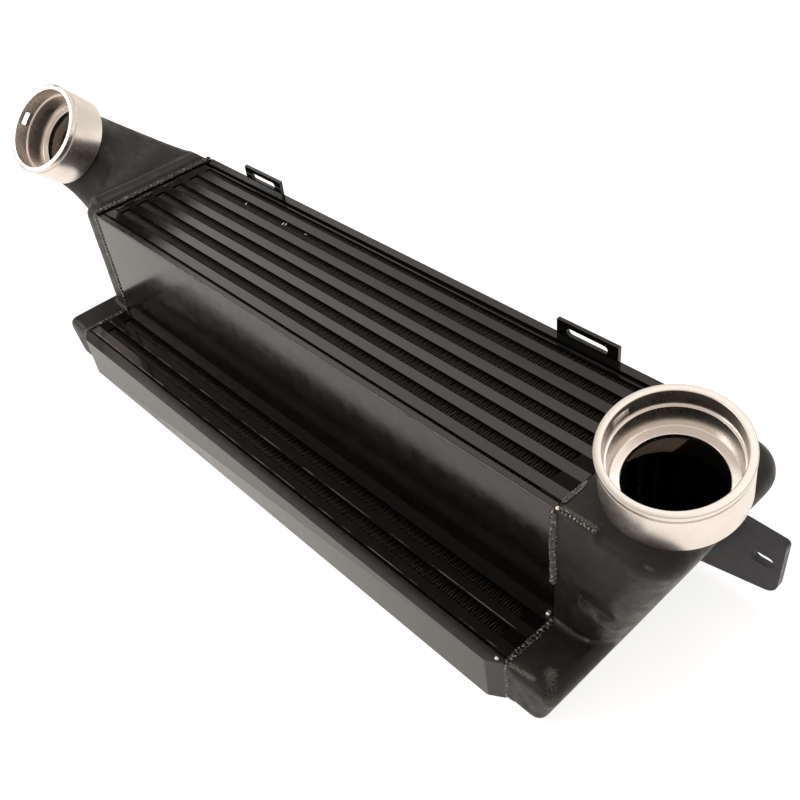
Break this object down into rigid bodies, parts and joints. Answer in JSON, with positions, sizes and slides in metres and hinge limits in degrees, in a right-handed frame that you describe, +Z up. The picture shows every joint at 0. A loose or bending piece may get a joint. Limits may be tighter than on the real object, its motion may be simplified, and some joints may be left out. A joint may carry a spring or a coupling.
{
  "type": "intercooler",
  "caption": "Stepped bar-and-plate charge air cooler with cast end tanks, two angled hose collars, slotted hanger tabs and a slotted mounting ear.",
  "frame": {"origin": "on the underside, at mid length of the core, under the middle of the step side plate", "axes": "+X along the core to the outlet end, +Y from the shallow stack to the deep stack, +Z up"},
  "size_m": [0.7646, 0.1795, 0.2122],
  "materials": {
    "core_black": "semi-gloss black paint over brazed aluminium",
    "cast_black": "satin black paint over sand cast aluminium, rubbed at the edges",
    "bead_black": "black paint over a rippled weld",
    "machined_aluminium": "fine turned, bare",
    "bare_aluminium": "bare brazed sheet"
  },
  "bodies": {
    "root": {"deep_1_end_bars": "core_black", "deep_1_fins": "core_black", "deep_2_end_bars": "core_black", "deep_2_fins": "core_black", "deep_3_end_bars": "core_black", "deep_3_fins": "core_black", "deep_4_end_bars": "core_black", "deep_4_fins": "core_black", "deep_5_end_bars": "core_black", "deep_5_fins": "core_black", "deep_bars_1": "core_black", "deep_bars_2": "core_black", "deep_bars_3": "core_black", "deep_bars_4": "core_black", "deep_bars_5": "core_black", "deep_bars_6": "core_black", "deep_sheets_1": "core_black", "deep_sheets_2": "core_black", "deep_sheets_3": "core_black", "deep_sheets_4": "core_black", "deep_sheets_5": "core_black", "deep_sheets_6": "core_black", "deep_turbulator_1": "bare_aluminium", "deep_turbulator_2": "bare_aluminium", "deep_turbulator_3": "bare_aluminium", "deep_turbulator_4": "bare_aluminium", "deep_turbulator_5": "bare_aluminium", "deep_turbulator_6": "bare_aluminium", "front_end_bars": "core_black", "front_fins": "core_black", "front_side_plate": "core_black", "hanger_tab_1": "core_black", "hanger_tab_2": "core_black", "inlet_collar": "machined_aluminium", "inner_side_plate": "core_black", "left_end_tank": "cast_black", "left_seam_bead": "bead_black", "mounting_ear": "cast_black", "outlet_collar": "machined_aluminium", "rear_end_bars": "core_black", "rear_fins": "core_black", "rear_sheet": "core_black", "rear_side_plate": "core_black", "right_end_tank": "cast_black", "right_seam_bead": "bead_black", "shallow_1_end_bars": "core_black", "shallow_1_fins": "core_black", "shallow_2_end_bars": "core_black", "shallow_2_fins": "core_black", "shallow_bars_1": "core_black", "shallow_bars_2": "core_black", "shallow_sheets_1": "core_black", "shallow_sheets_2": "core_black", "shallow_turbulator_1": "bare_aluminium", "shallow_turbulator_2": "bare_aluminium", "step_end_bars": "core_black", "step_fins": "core_black", "step_side_plate": "core_black"}
  },
  "joints": []
}
